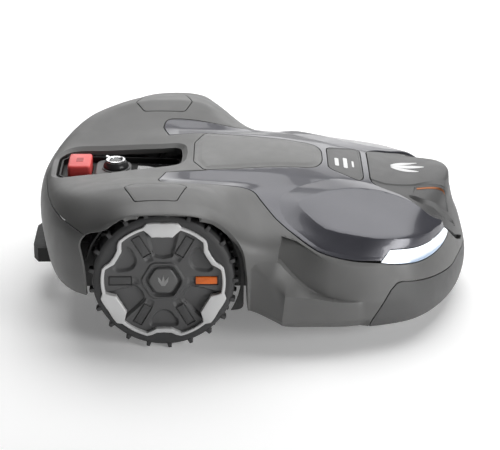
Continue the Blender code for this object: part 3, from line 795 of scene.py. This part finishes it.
BUMPER_RETURN, TAIL_RETURN = 8.0, 5.0
front_half = skin.copy()
carve(front_half, offset(front_line, -gap), SIDE, keep=True)
bumper_grey = plastic("bumper_grey", (0.075, 0.075, 0.075), 0.55, grain=0.09)
panel("front_bumper_skin", front_half, bumper_grey, "trim_dark", "front_bumper", depth=BUMPER_RETURN)
rear_half = skin.copy()
carve(rear_half, offset(rear_line, -gap), SIDE, keep=True)
carve(rear_half, offset(arch_line, RIM), SIDE, accept=beyond(180))
panel("rear_bumper_skin", rear_half, body_grey, "body_grey", "rear_bumper", depth=TAIL_RETURN)


# --- Headlights and fender covers ---
# The crescent lens between hood and apron glows evenly, a shade bluer along its lower edge. The six-sided
# cover on each fender hides a screw.

lamp_half = skin.copy()
carve(lamp_half, offset(lamp_line, -gap), CORNER, keep=True, accept=lamp_side)
carve(lamp_half, offset(nose_line, gap))
lens = bpy.data.materials.new("lamp_lens")
lens.use_nodes = True
lens_nodes, lens_links = lens.node_tree.nodes, lens.node_tree.links
lens_shader = lens_nodes["Principled BSDF"]
lens_shader.inputs["Roughness"].default_value = 0.12
lens_shader.inputs["Coat Weight"].default_value = 0.5
lens_shader.inputs["Emission Strength"].default_value = 1.0
lens_place = lens_nodes.new("ShaderNodeTexCoord")
lens_axes = lens_nodes.new("ShaderNodeSeparateXYZ")
lens_links.new(lens_place.outputs["Object"], lens_axes.inputs["Vector"])
lens_height = lens_nodes.new("ShaderNodeMapRange")
lens_height.inputs["From Min"].default_value = 0.134   # metres above the ground
lens_height.inputs["From Max"].default_value = 0.143
lens_links.new(lens_axes.outputs["Z"], lens_height.inputs["Value"])
lens_flutes = lens_nodes.new("ShaderNodeTexWave")
lens_flutes.inputs["Scale"].default_value = 90.0
lens_links.new(lens_place.outputs["Object"], lens_flutes.inputs["Vector"])
lens_tint = colour_mix(lens.node_tree, (0.42, 0.52, 0.66), (0.95, 0.97, 1.0), lens_height)
lens_links.new(lens_tint.outputs["Result"], lens_shader.inputs["Base Color"])
lens_glow = colour_mix(lens.node_tree, (0.02, 0.03, 0.05), (0.8, 0.85, 0.9), lens_height)
lens_links.new(lens_glow.outputs["Result"], lens_shader.inputs["Emission Color"])
lens_bump = lens_nodes.new("ShaderNodeBump")
lens_bump.inputs["Strength"].default_value = 0.05
lens_links.new(lens_flutes.outputs["Fac"], lens_bump.inputs["Height"])
lens_links.new(lens_bump.outputs["Normal"], lens_shader.inputs["Normal"])
cover_half = skin.copy()
carve(cover_half, offset(cover_line, -gap), keep=True, accept=above(200))
for side, name in ((1, "left"), (-1, "right")):
    panel(f"headlight_lens_{name}", lamp_half.copy(), lens, "lamp_lens", f"headlight_{name}", sides=(side,))
    panel(f"fender_lid_{name}", cover_half.copy(), body_grey, "body_grey", f"fender_cover_{name}",
          sides=(side,))


# --- Rear wheels ---
# A rubber tyre with three staggered rows of lugs round a moulded hub with six spokes. A silver trim ring
# with three pads is clipped on the hub, an orange insert marks one spoke, and a six-sided cap covers the
# axle nut. Each piece is drawn flat, facing up, then stood on the right wheel and mirrored for the left.

WHEEL_X, WHEEL_Z, WHEEL_R = -143.0, 122.5, 122.5
BEAD_R = 109.0
LUGS = 21         # in each row
LUG_LENGTH = 9.0  # with the root that is sunk in the tread
# Trim ring radii at angles from the middle of a pad, repeated and mirrored three times round.
RING_OUTER = [(0, 104.5), (13.7, 107.2), (18, 102.0), (44, 102.0), (48, 98.5), (52.5, 93), (60, 91.5)]
RING_INNER = [(0, 79.5), (12, 81.3), (18, 96.5), (43, 96.5), (47, 91), (51.5, 85), (60, 83.7)]


def radius_at(table, angle):
    turn = abs((math.degrees(angle) - 90 + 60) % 120 - 60)
    for (a0, r0), (a1, r1) in zip(table, table[1:]):
        if turn <= a1:
            return r0 + (r1 - r0) * (turn - a0) / (a1 - a0)
    return table[-1][1]


def on_wheel(shape):
    """Stands a piece drawn flat, facing up, on the outer face of the right wheel."""
    bmesh.ops.rotate(shape, verts=shape.verts, matrix=Matrix.Rotation(math.pi / 2, 3, "X"))
    bmesh.ops.translate(shape, verts=shape.verts, vec=(WHEEL_X, 0, WHEEL_Z))


def wheel_pieces(name, shape, finish, slot_name, node=None, body="rear_wheel_{}", smooth_angle=34):
    """The piece on the right wheel and its mirror image on the left one."""
    on_wheel(shape)
    for side in ("right", "left"):
        copy = shape.copy()
        if side == "left":
            mirror(copy)
        stands_for = [f"{node}_{side}"] if node else []
        as_object(f"{name}_{side}", copy, finish, body.format(side), slot_name, *stands_for,
                  smooth_angle=smooth_angle)
    shape.free()


def raise_lid(shape, height):
    """Extrudes flat faces upwards into a solid."""
    lid = bmesh.ops.extrude_face_region(shape, geom=shape.faces[:])["geom"]
    bmesh.ops.translate(shape, verts=[item for item in lid if isinstance(item, bmesh.types.BMVert)],
                        vec=(0, 0, height))
    bmesh.ops.recalc_face_normals(shape, faces=shape.faces)


def round_edges(shape, edges, radius, segments=3):
    bmesh.ops.bevel(shape, geom=edges, offset=radius, offset_type="OFFSET", affect="EDGES",
                    segments=segments, profile=0.5, material=-1)


def at_height(edge, height):
    return all(corner.co.z > height - 1e-4 for corner in edge.verts)


def trim_band(inner, outer, base, height, bevel):
    """A flat band between two radii that change with the angle, facing up."""
    shape = bmesh.new()
    for radius in (inner, outer):
        loop = bmesh.ops.create_circle(shape, cap_ends=False, radius=1.0, segments=360)["verts"]
        for corner in loop:
            angle = math.atan2(corner.co.y, corner.co.x)
            size = radius(angle)
            corner.co = (size * math.cos(angle), size * math.sin(angle), base)
    bmesh.ops.bridge_loops(shape, edges=shape.edges)
    raise_lid(shape, height)
    rims = [edge for edge in shape.edges if at_height(edge, base + height)
            and len({round(face.normal.z) for face in edge.link_faces}) == 2]
    round_edges(shape, rims, bevel)
    return shape


ring = trim_band(lambda angle: radius_at(RING_INNER, angle), lambda angle: radius_at(RING_OUTER, angle),
                 base=262.0, height=9.0, bevel=1.6)
ring_silver = plastic("ring_silver", (0.62, 0.62, 0.62), 0.34, grain=0.03, metallic=0.25)
wheel_pieces("trim_ring", ring, ring_silver, "ring_silver", "wheel_ring")

infill = trim_band(lambda angle: radius_at(RING_OUTER, angle) - 3, lambda angle: BEAD_R,
                   base=250.0, height=17.0, bevel=0.8)
tyre_rubber = plastic("tyre_rubber", (0.045, 0.045, 0.046), 0.62, grain=0.2, grain_scale=500.0)
wheel_pieces("tyre_bead", infill, tyre_rubber, "tyre_rubber")


def turned_piece(profile, centre=(0, 0), steps=96):
    """A profile of (radius, height) turned about an upright axis."""
    shape = bmesh.new()
    chain = [shape.verts.new((radius, 0, height)) for radius, height in profile]
    edges = [shape.edges.new(pair) for pair in zip(chain, chain[1:])]
    bmesh.ops.spin(shape, geom=chain + edges, cent=(0, 0, 0), axis=(0, 0, 1), angle=2 * math.pi,
                   steps=steps, use_merge=True)
    bmesh.ops.remove_doubles(shape, verts=shape.verts, dist=1e-3)
    bmesh.ops.recalc_face_normals(shape, faces=shape.faces)
    bmesh.ops.translate(shape, verts=shape.verts, vec=(centre[0], centre[1], 0))
    return shape


def add_lug(shape, angle, low, high, width):
    """One tread block with a tapered top, standing on the tread."""
    block = bmesh.new()
    bmesh.ops.create_cube(block, size=1.0)
    bmesh.ops.scale(block, verts=block.verts, vec=(LUG_LENGTH, width, high - low))
    for corner in block.verts:
        if corner.co.x > 0:
            corner.co.y *= 0.72
            corner.co.z *= 0.86
    round_edges(block, block.edges[:], 0.9, 2)
    bmesh.ops.translate(block, verts=block.verts, vec=(WHEEL_R - LUG_LENGTH / 2, 0, (low + high) / 2))
    bmesh.ops.rotate(block, verts=block.verts, matrix=Matrix.Rotation(angle, 3, "Z"))
    join(shape, block)


# The tyre's section, as (radius, distance from the middle plane), with a thin groove round the tread.
TYRE_PROFILE = [(98, 266.5), (106, 267.5), (111, 267), (115, 264), (117, 258), (117.4, 250),
                (117.4, 241), (116.2, 240), (117.4, 239), (117.4, 230), (117, 222), (115, 216),
                (111, 213), (98, 212.5), (98, 266.5)]
tyre = turned_piece(TYRE_PROFILE, steps=168)
half_step = math.pi / LUGS
for lug in range(LUGS):
    turn = 2 * math.pi * lug / LUGS
    add_lug(tyre, turn, low=249, high=266, width=8.0)
    add_lug(tyre, turn + half_step, low=214, high=231, width=8.0)
    add_lug(tyre, turn + half_step * 0.5, low=233, high=247, width=5.0)
wheel_pieces("tyre_tread", tyre, tyre_rubber, "tyre_rubber", "tyre")


def turned_outline(points, degrees):
    angle = math.radians(degrees)
    return [(x * math.cos(angle) - y * math.sin(angle), x * math.sin(angle) + y * math.cos(angle))
            for x, y in points]


def polygon(radius, count):
    turns = [math.radians(step * 360 / count) for step in range(count)]
    return [(radius * math.cos(turn), radius * math.sin(turn)) for turn in turns]


def six_sided(radius, corner):
    return rounded(polygon(radius, 6), corner)


def tapered(rear, front, rear_half, front_half):
    """A four-sided outline across the middle line, of one half width at each end."""
    return [(rear, -rear_half), (front, -front_half), (front, front_half), (rear, rear_half)]


UP = Vector((0, 0, 1))
HUB_R, HUB_FACE, HUB_WALL = 98.5, 264.0, 4.0
HUB_SEAT = 259.0      # floor of the pockets that hold the inserts
PAD_POCKET = [(100, -33), (100, 33), (82, 27), (42, 17), (38, 0), (42, -17), (82, -27)]
BOWL_POCKET = [(84, -24), (84, 24), (72, 26), (54, 12), (50, 0), (54, -12), (72, -26)]
SPOKE_RAMP = tapered(39, 53, 7, 8.5)
INSERT = tapered(53, 88, 6.4, 6.4)
hub = bmesh.new()
bmesh.ops.create_grid(hub, x_segments=50, y_segments=50, size=100)
bmesh.ops.translate(hub, verts=hub.verts, vec=(0, 0, HUB_FACE))
carve(hub, polygon(HUB_R, 120), keep=True)
for degrees in (90, 210, 330):
    emboss(hub, rounded(turned_outline(PAD_POCKET, degrees), 4), rise=-5.5, slope=4.5, along=UP)
for degrees in (30, 150, 270):
    emboss(hub, rounded(turned_outline(BOWL_POCKET, degrees), 9), rise=-5.0, slope=5.5, along=UP, soft=True)
for degrees in range(0, 360, 60):
    emboss(hub, turned_outline(SPOKE_RAMP, degrees), rise=-2.4, slope=4.5, along=UP)
    pocket = turned_outline(offset(INSERT, 2.2), degrees)
    emboss(hub, rounded(pocket, 1.2), rise=-2.6, slope=0.7, along=UP)
emboss(hub, six_sided(38.5, 9), rise=2.4, slope=2.0, along=UP)
emboss(hub, six_sided(33.5, 8), rise=-7.0, slope=4.0, along=UP)
hub_grey = plastic("hub_grey", (0.082, 0.082, 0.083), 0.48)
wheel_pieces("hub_face", walled(hub, HUB_WALL), hub_grey, "hub_grey", "wheel_hub", smooth_angle=30)


def slab(outline, base, height, bevel, segments=3):
    """A block of the given outline, facing up, with its upper edges rounded."""
    shape = bmesh.new()
    corners = [shape.verts.new((x, y, base)) for x, y in outline]
    shape.faces.new(corners)
    bmesh.ops.recalc_face_normals(shape, faces=shape.faces)
    raise_lid(shape, height)
    rims = [edge for edge in shape.edges if at_height(edge, base + height)]
    round_edges(shape, rims, bevel, segments)
    return shape


def merged(pieces):
    """Several loose meshes as one."""
    result = bmesh.new()
    for piece in pieces:
        join(result, piece)
    return result


inserts = merged([slab(rounded(turned_outline(INSERT, degrees), 1.0), HUB_SEAT, height=4.6, bevel=0.8)
                  for degrees in range(60, 360, 60)])
insert_grey = plastic("insert_grey", (0.06, 0.06, 0.061), 0.4)
wheel_pieces("spoke_inserts", inserts, insert_grey, "hub_grey")
marker = slab(rounded(INSERT, 1.0), HUB_SEAT, height=5.2, bevel=0.9)
marker_orange = plastic("marker_orange", (0.72, 0.14, 0.01), 0.4)
wheel_pieces("spoke_marker", marker, marker_orange, "marker_orange", "wheel_marker")

cap = slab(six_sided(25.5, 7), base=252.0, height=13.0, bevel=2.6)
cap_grey = plastic("cap_grey", (0.11, 0.11, 0.11), 0.42)
wheel_pieces("axle_cap", cap, cap_grey, "hub_grey", "wheel_cap")
LEAF_LEFT = [(-3, -9), (0, -9), (-3, 0), (-9, 8), (-8, -1)]
LEAF_MIDDLE = [(-1.5, -9), (1.5, -9), (2.2, 0), (0, 11), (-2.2, 0)]
LEAF_RIGHT = [(-x, y) for x, y in LEAF_LEFT]
sprig = merged([slab(leaf, HUB_FACE, height=1.7, bevel=0.3, segments=1)
                for leaf in (LEAF_LEFT, LEAF_MIDDLE, LEAF_RIGHT)])
sprig_grey = plastic("sprig_grey", (0.28, 0.28, 0.28), 0.35)
wheel_pieces("cap_sprig", sprig, sprig_grey, "hub_grey")


# --- Wheel wells ---
# A dark splash panel closes the front of each wheel well beside the tyre, screwed to the chassis. It is cut
# from sheet round the tyre, and drawn flat about the wheel's centre.

WELL_R = 127.5
SPLASH_OUTLINE = [(60, -70), (131, -62), (132, 20), (126, 52), (112, 78), (95, 94), (84, 84), (60, 60)]
splash = bmesh.new()
bmesh.ops.create_grid(splash, x_segments=24, y_segments=40, size=1.0)
bmesh.ops.scale(splash, verts=splash.verts, vec=(45, 85, 1))
bmesh.ops.translate(splash, verts=splash.verts, vec=(95, 10, 243.0))
carve(splash, polygon(WELL_R, 90))
carve(splash, rounded(SPLASH_OUTLINE, 10), keep=True)
well_grey = plastic("well_grey", (0.05, 0.05, 0.05), 0.6, grain=0.1)
wheel_pieces("splash_panel", walled(splash, 2.5), well_grey, "black_plastic", body="chassis",
             smooth_angle=24)


# --- Controls ---
# Inside the slot: the big red stop button, the jog dial on its rounded base with a black collar, and a long
# glossy display. The deck round them is black.

button = slab(rounded(tapered(-315, -275, 31, 31), 6), base=206.0, height=24.0, bevel=4.5, segments=5)
stop_mark = slab(rounded(tapered(-301, -289, 9, 9), 1.5), base=229.4, height=0.9, bevel=0.3, segments=1)
stop_red = plastic("stop_red", (0.75, 0.075, 0.07), 0.42, grain=0.03)
as_object("stop_cap", button, stop_red, "stop_button", "stop_red", "stop_button")
mark_red = plastic("mark_red", (0.42, 0.03, 0.03), 0.5)
as_object("stop_mark", stop_mark, mark_red, "stop_button", "stop_red")


DIAL = (-233, 0)
DECK_LEVEL = 206.3
knob = turned_piece([(0, 206.6), (19.0, 206.6), (20.5, 216), (21.8, 218.5), (21.4, 221.5), (19.4, 225),
                     (17.6, 227.5), (12, 228.5), (11.0, 227), (0, 227)], DIAL)
dial_black = plastic("dial_black", (0.035, 0.035, 0.036), 0.3)
as_object("dial_knob", knob, dial_black, "jog_dial", "black_plastic", "jog_dial")
collar = turned_piece([(10.6, 227.4), (17.2, 227.4), (17.4, 229.0), (16.2, 230.8), (13.4, 231.4),
                       (11.4, 230.2), (10.6, 227.4)], DIAL)
dial_silver = plastic("dial_silver", (0.68, 0.68, 0.69), 0.22, grain=0.02, metallic=0.9)
as_object("dial_ring", collar, dial_silver, "jog_dial", "ring_silver")
press = turned_piece([(0, 226.5), (9.4, 226.5), (9.6, 228.6), (8.8, 229.6), (0, 230.2)], DIAL)
as_object("dial_press", press, dial_black, "dial_button", "black_plastic", "dial_button")
dial_base = slab(rounded(tapered(-268, -206, 40, 33), 22, steps=8), DECK_LEVEL, height=8.5, bevel=2.4,
                 segments=4)
collar_black = turned_piece([(19.9, 214.9), (24.5, 214.9), (24.0, 216.2), (22.0, 217.0), (20.2, 216.4),
                             (19.9, 214.9)], DIAL)
as_object("dial_collar", collar_black, dial_black, "chassis", "black_plastic")
deck_grey = plastic("deck_grey", (0.10, 0.10, 0.10), 0.5)
as_object("dial_base", dial_base, deck_grey, "chassis", "black_plastic", "dial_bezel")
screen = slab(rounded(tapered(-196, -136, 24, 17), 4), DECK_LEVEL, height=7.5, bevel=0.8)
screen_gloss = plastic("screen_gloss", (0.008, 0.008, 0.009), 0.08, grain=0.01, coat=0.6)
as_object("screen", screen, screen_gloss, "chassis", "display_gloss", "display_panel")
tag = slab(rounded([(-192, -20), (-180, -19), (-180, 2), (-192, 2)], 1), base=213.6, height=0.8,
           bevel=0.3, segments=1)
tag_grey = plastic("tag_grey", (0.4, 0.4, 0.4), 0.4)
as_object("deck_tag", tag, tag_grey, "chassis", "display_gloss")


# --- Chassis, casters and cutting deck ---
# The parts below and inside the shell keep their plain shapes: a glass-filled nylon chassis, rubber body
# posts, black casters, bright steel axles and blades, and a black cutting disc with its skid plate. Each
# only takes a finish.

black_plastic = plastic("black_plastic", (0.018, 0.018, 0.018), 0.5, grain=0.12)
deck_black = plastic("deck_black", (0.004, 0.004, 0.004), 0.6, grain=0.05)
post_rubber = plastic("post_rubber", (0.03, 0.03, 0.03), 0.75, grain=0.2)
steel = plastic("steel", (0.55, 0.55, 0.56), 0.3, grain=0.03, metallic=1.0)
motor_metal = plastic("motor_metal", (0.45, 0.46, 0.47), 0.4, metallic=1.0)
battery_case = plastic("battery_case", (0.03, 0.035, 0.05), 0.5)
board_green = plastic("board_green", (0.01, 0.09, 0.03), 0.4)
caster_black = plastic("caster_black", (0.03, 0.03, 0.03), 0.5)
handle_black = plastic("handle_black", (0.035, 0.035, 0.035), 0.7, grain=1.0, grain_scale=160.0)


def pairs(*names):
    return [f"{name}_{side}" for name in names for side in ("left", "right")]


FINISHES = {
    black_plastic: ["chassis_lower", "chassis_upper", "blade_disc", "skid_plate"],
    deck_black: ["control_deck"],
    well_grey: pairs("wheel_liner"),
    handle_black: ["rear_handle"],
    post_rubber: pairs("body_post_front", "body_post_rear"),
    steel: ["height_screw", "blade_1", "blade_2", "blade_3", *pairs("drive_axle", "caster_axle")],
    motor_metal: ["cutting_motor", *pairs("drive_motor")],
    battery_case: ["battery"],
    board_green: ["main_board"],
    caster_black: pairs("caster_fork", "caster_wheel"),
}
for finish, names in FINISHES.items():
    for name in names:
        for place in bpy.data.objects[name].material_slots:
            place.material = finish
